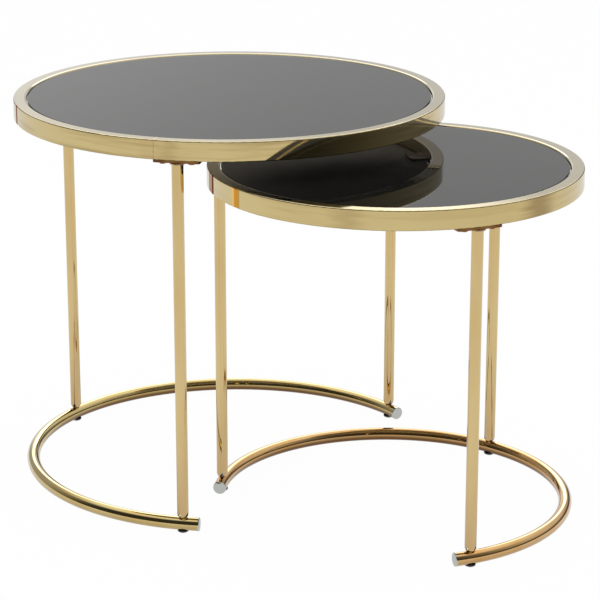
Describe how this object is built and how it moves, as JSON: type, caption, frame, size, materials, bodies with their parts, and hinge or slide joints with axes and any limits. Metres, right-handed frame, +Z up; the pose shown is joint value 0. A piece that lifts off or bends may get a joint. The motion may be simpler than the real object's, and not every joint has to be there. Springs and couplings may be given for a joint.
{
  "type": "nesting tables",
  "caption": "Round side tables that nest: gold tube frames on C-shaped bases, recessed black glass tops, and the smaller table slides in under the larger",
  "frame": {"origin": "centre of the pair's bounding box on the floor, at rest", "axes": "+X along the floor in the direction in which the small table is pulled out from under the large one, +Y along the floor to the left of that, +Z up"},
  "size_m": [0.6969, 0.5, 0.452],
  "materials": {
    "gold_metal": "polished pale gold plating on steel tube and strip",
    "black_glass": "black glass, polished, opaque",
    "silver_cap": "silver metallised plastic, glossy",
    "black_plastic": "moulded black plastic, glossy",
    "zinc_steel": "zinc plated steel",
    "clear_pad": "clear soft elastomer"
  },
  "bodies": {
    "large_table": {"large_top_ring": "gold_metal", "large_glass": "black_glass", "large_glass_tabs": "gold_metal", "large_glass_pads": "clear_pad", "large_ring_nuts": "zinc_steel", "large_plate_screws": "gold_metal", "large_plate_rear": "gold_metal", "large_plate_left": "gold_metal", "large_plate_right": "gold_metal", "large_leg_rear": "gold_metal", "large_leg_left": "gold_metal", "large_leg_right": "gold_metal", "large_leg_inserts": "zinc_steel", "large_base_ring": "gold_metal", "large_base_bolts": "zinc_steel", "large_foot_rear": "black_plastic", "large_foot_left": "black_plastic", "large_foot_right": "black_plastic", "large_cap_left": "silver_cap", "large_cap_right": "silver_cap"},
    "small_table": {"small_top_ring": "gold_metal", "small_glass": "black_glass", "small_glass_tabs": "gold_metal", "small_glass_pads": "clear_pad", "small_ring_nuts": "zinc_steel", "small_plate_screws": "gold_metal", "small_plate_rear": "gold_metal", "small_plate_left": "gold_metal", "small_plate_right": "gold_metal", "small_leg_rear": "gold_metal", "small_leg_left": "gold_metal", "small_leg_right": "gold_metal", "small_leg_inserts": "zinc_steel", "small_base_ring": "gold_metal", "small_base_bolts": "zinc_steel", "small_foot_rear": "black_plastic", "small_foot_left": "black_plastic", "small_foot_right": "black_plastic", "small_cap_left": "silver_cap", "small_cap_right": "silver_cap"}
  },
  "joints": [
    {"name": "nest_slide", "type": "slide", "parent": "large_table", "child": "small_table", "axis": [1, 0, 0], "range_m": [-0.238, 0.26]}
  ]
}
